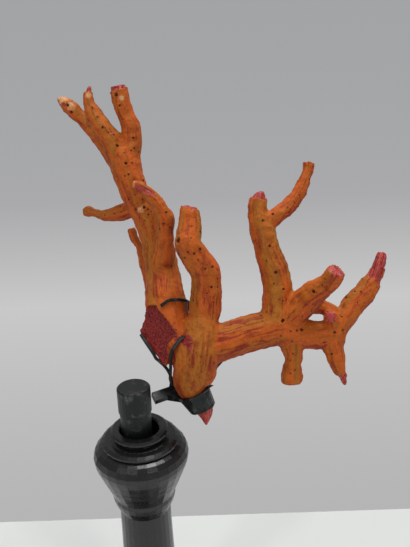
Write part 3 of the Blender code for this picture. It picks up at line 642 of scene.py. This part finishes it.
def sculptCoral(body):
    points, normals = getPoints(body), getNormals(body)
    grain, clear = Limbs().find(points)
    bare, face = bareShare(points), faceShare(points, normals)
    crust = (1.0 - bare) * (1.0 - face)
    stretched = clouds(grain * (1.0, 1.0, 0.10), coral["streakSize"], 2)
    lined = clear * softStep(0.0, 0.35, ballShare(points, linedZones)) * 0.75 + 0.25 * clear
    heights = coral["knobble"] * clouds(points, coral["knobbleSize"], 2)
    heights += coral["crumb"] * clouds(points, coral["crumbSize"], 2)
    heights += coral["streak"] * stretched * lined * crust
    heights -= coral["crust"] * bare
    rim = softStep(0.02, 0.3, bare) * softStep(0.75, 0.3, bare)
    heights += coral["crustEdge"] * rim
    heights += coral["rib"] * clouds(grain * (1.0, 1.0, 0.06), 1.1 * mm) * bare
    heights += 0.0004 * face * clouds(points, 1.1 * mm, 3)
    pitShadeMarks = np.zeros(len(points))
    carveSpots(points, normals, choosePits(body, points, normals, crust), heights, pitShadeMarks)
    setPoints(body, points + normals * heights[:, None])
    pale = softStep(-0.05, 0.45, ballShare(points, paleSpots) + 0.25 * clouds(points, 1.2 * mm, 2))
    paint(body, "bare", bare)
    paint(body, "face", face)
    # painted shade for the pit hollows, on the crust only
    paint(body, "pits", pitShadeMarks * crust)
    paint(body, "rim", rim)
    paint(body, "pale", pale * (1.0 - bare))
    # painted shade: surfaces that face down get a darker red-brown, as shade falls on the undersides
    paint(body, "under", softStep(0.35, -0.8, normals[:, 2]))
    paint(body, "lined", lined)
    paint(body, "grain", grain)


def coralFinish():
    look = Finish("coralCrust", **{"Specular IOR Level": 0.35})
    spot = look.objectSpot()
    grain = look.painted("grain", "Vector")
    bare, face = look.painted("bare"), look.painted("face")
    # pits and under carry painted shade: the pit hollows and the undersides
    pits, under, lined = look.painted("pits"), look.painted("under"), look.painted("lined")
    fibres = look.noise(look.stretched(grain, (1.0, 1.0, 0.22)), 420.0, 3.0, 0.6)
    bands = look.noise(look.stretched(grain, (1.0, 1.0, 0.12)), 170.0, 3.0, 0.55)
    mottle = look.noise(spot, 700.0, 4.0, 0.62)
    grit = look.noise(spot, 2600.0, 3.0, 0.6)
    lines = look.noise(look.stretched(grain, (1.0, 1.0, 0.07)), 1300.0, 2.0, 0.6)
    crust = look.mix(look.step(bands, 0.42, 0.62), coral["crustColour"], coral["ochre"])
    # mix towards redBrown: random red tone in fibres and mottle, plus painted shade on the undersides (under)
    redToneAndUndersideShade = look.step(fibres, 0.44, 0.68) * 0.55 + look.step(mottle, 0.50, 0.70) * 0.35 + under * 0.55
    redToneAndUndersideShade = redToneAndUndersideShade + look.step(lines, 0.52, 0.36) * lined * 0.65
    crust = look.mix(look.step(redToneAndUndersideShade, 0.0, 1.1), crust, coral["redBrown"])
    crust = look.mix(look.step(grit, 0.56, 0.72) * look.step(mottle, 0.55, 0.35) * 0.6, crust, coral["salmon"])
    crust = look.mix(look.step(grit, 0.44, 0.28) * 0.6, crust, (0.12, 0.010, 0.004))
    pale = look.painted("pale") * look.step(grit, 0.34, 0.54)
    crust = look.mix(pale, crust, look.mix(look.step(mottle, 0.4, 0.6), coral["pale"], coral["salmon"]))
    # painted shade: the pit hollows are coloured nearly black
    crust = look.mix(look.step(pits, 0.15, 0.8) * 0.92, crust, coral["pitShadeColour"])
    core = look.mix(look.step(lines, 0.40, 0.66), coral["core"], coral["coreLight"])
    core = look.mix(look.step(mottle, 0.50, 0.70) * 0.8, core, coral["coreDark"])
    granular = look.mix(look.step(look.noise(spot, 1500.0, 4.0, 0.7), 0.38, 0.62), coral["coreDark"],
                        (0.46, 0.040, 0.032))
    colour = look.mix(bare, crust, core)
    colour = look.mix(face, colour, granular)
    normal = look.bump(mottle * 0.5 + grit * 0.35 + lines * lined * 0.5, 0.5, 0.00028)
    roughness = 0.74 - bare * 0.26 - face * 0.15 + (grit - 0.5) * 0.2
    return look.finish(colour=colour, roughness=roughness, normal=normal)


def makeCoral():
    body = coralBody()
    print("coral body:", len(body.data.vertices), "points")
    sculptCoral(body)
    ratio = coral["triangles"] / sum(len(face.vertices) - 2 for face in body.data.polygons)
    useModifier(body, "DECIMATE", ratio=ratio, use_collapse_triangulate=True)
    pick(body)
    bpy.ops.object.shade_smooth()
    body.data.materials.clear()
    body.data.materials.append(coralFinish())
    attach(body, "root")
    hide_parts(*[name for name in frame["nodes"] if name.startswith("coral_")])
    print("coral:", len(body.data.polygons), "faces")
    return body


# Mount: the claws, arm, cup and peg

mount = {
    "colour": (0.018, 0.020, 0.019),
    "worn": (0.16, 0.17, 0.155),
    "roughness": 0.42,
}


def metalFinish(name, wear):
    look = Finish(name)
    spot = look.objectSpot()
    broad = look.noise(spot, 260.0, 4.0, 0.6)
    fine = look.noise(spot, 2200.0, 4.0, 0.65)
    rub = look.step(broad, 0.52, 0.68) * look.step(fine, 0.35, 0.6) * wear
    colour = look.mix(rub, mount["colour"], mount["worn"])
    roughness = mount["roughness"] + (fine - 0.5) * 0.25 - rub * 0.08
    normal = look.bump(fine * 0.6 + broad * 0.4, 0.25, 0.0002)
    return look.finish(colour=colour, roughness=roughness, metallic=0.55 + rub * 0.3, normal=normal)


def dressMount():
    metal = metalFinish("blackenedMetal", 0.7)
    for name, node in frame["nodes"].items():
        if name.startswith("mount_"):
            node.data.materials.clear()
            node.data.materials.append(metal)


# Stand: the turned column and foot

stand = {
    "top": 0.125,
    "steps": 128,
    "colour": (0.0085, 0.0080, 0.0078),
    "roughness": 0.26,
}


def woodFinish():
    look = Finish("ebonisedWood", **{"Specular IOR Level": 0.55})
    spot = look.objectSpot()
    broad = look.noise(spot, 90.0, 4.0, 0.6)
    rings = look.noise(look.stretched(spot, (0.15, 0.15, 6.0)), 500.0, 3.0, 0.6)
    fine = look.noise(spot, 1800.0, 4.0, 0.6)
    colour = look.mix(look.step(broad, 0.5, 0.75) * 0.5, stand["colour"], (0.020, 0.018, 0.016))
    roughness = stand["roughness"] + (broad - 0.5) * 0.25 + (fine - 0.5) * 0.15
    normal = look.bump(rings * 0.5 + fine * 0.3, 0.12, 0.0002)
    return look.finish(colour=colour, roughness=roughness, normal=normal)


def dressStand():
    wood = woodFinish()
    for name, node in frame["nodes"].items():
        if name.startswith("stand_"):
            node.data.materials.clear()
            node.data.materials.append(wood)


# Stage: table, backdrop and soft light

def addStage():
    bpy.ops.mesh.primitive_plane_add(size=3.0, location=(0.0, 0.089 - 1.5, 0.0))
    table = bpy.context.object
    look = Finish("paleTable")
    tone = look.mix(look.step(look.noise(look.objectSpot(), 6.0), 0.3, 0.7), (0.78, 0.79, 0.76), (0.83, 0.84, 0.81))
    table.data.materials.append(look.finish(colour=tone, roughness=0.6))
    bpy.ops.mesh.primitive_plane_add(size=3.0, location=(0.0, 0.8, 0.2), rotation=(math.pi / 2, 0.0, 0.0))
    backdrop = bpy.context.object
    bpy.ops.object.transform_apply(location=True, rotation=True, scale=True)
    look = Finish("glowingGreyBackdrop")
    # painted light: the backdrop glows by itself instead of being lit, lightest in a band across the middle and
    # darker towards the top
    height = look.node("SeparateXYZ", None, {0: look.objectSpot()}, out="Z")
    backdropLightGradient = look.node("ValToRGB", {"stops": [(0.0, (0.46, 0.46, 0.46)), (0.28, (0.52, 0.52, 0.52)),
                                            (0.5, (0.58, 0.58, 0.58)), (0.75, (0.40, 0.40, 0.41)),
                                            (1.0, (0.36, 0.37, 0.38))]}, {0: look.step(height, -0.7, 0.35)})
    glow = look.node("Emission", None, {"Color": backdropLightGradient, "Strength": 1.0})
    look.tree.links.new(glow.link, look.output.inputs["Surface"])
    backdrop.data.materials.append(look.material)
    backdrop.visible_diffuse = False


def addLight(name, spot, size, power):
    bpy.ops.object.light_add(type="AREA", location=spot)
    lamp = bpy.context.object
    lamp.name = name
    lamp.data.size = size
    lamp.data.energy = power
    lamp.rotation_euler = (Vector((0.02, 0.0, 0.18)) - Vector(spot)).to_track_quat("-Z", "Y").to_euler()


def lightStage():
    world = bpy.data.worlds.new("paleRoom")
    world.use_nodes = True
    world.node_tree.nodes["Background"].inputs["Color"].default_value = (0.90, 0.94, 1.0, 1.0)
    world.node_tree.nodes["Background"].inputs["Strength"].default_value = 0.26
    bpy.context.scene.world = world
    addLight("ceiling", (0.25, 0.45, 2.5), 1.1, 40.0)
    addLight("lampLeft", (-0.9, -1.3, 1.6), 0.18, 5.0)
    addLight("lampRight", (0.9, -1.3, 1.6), 0.18, 3.5)
    bpy.context.scene.view_settings.view_transform = "Standard"


deselectAll()
addCamera()
addStage()
lightStage()
print("stage, camera and lights are in place")
makeCoral()
dressMount()
dressStand()
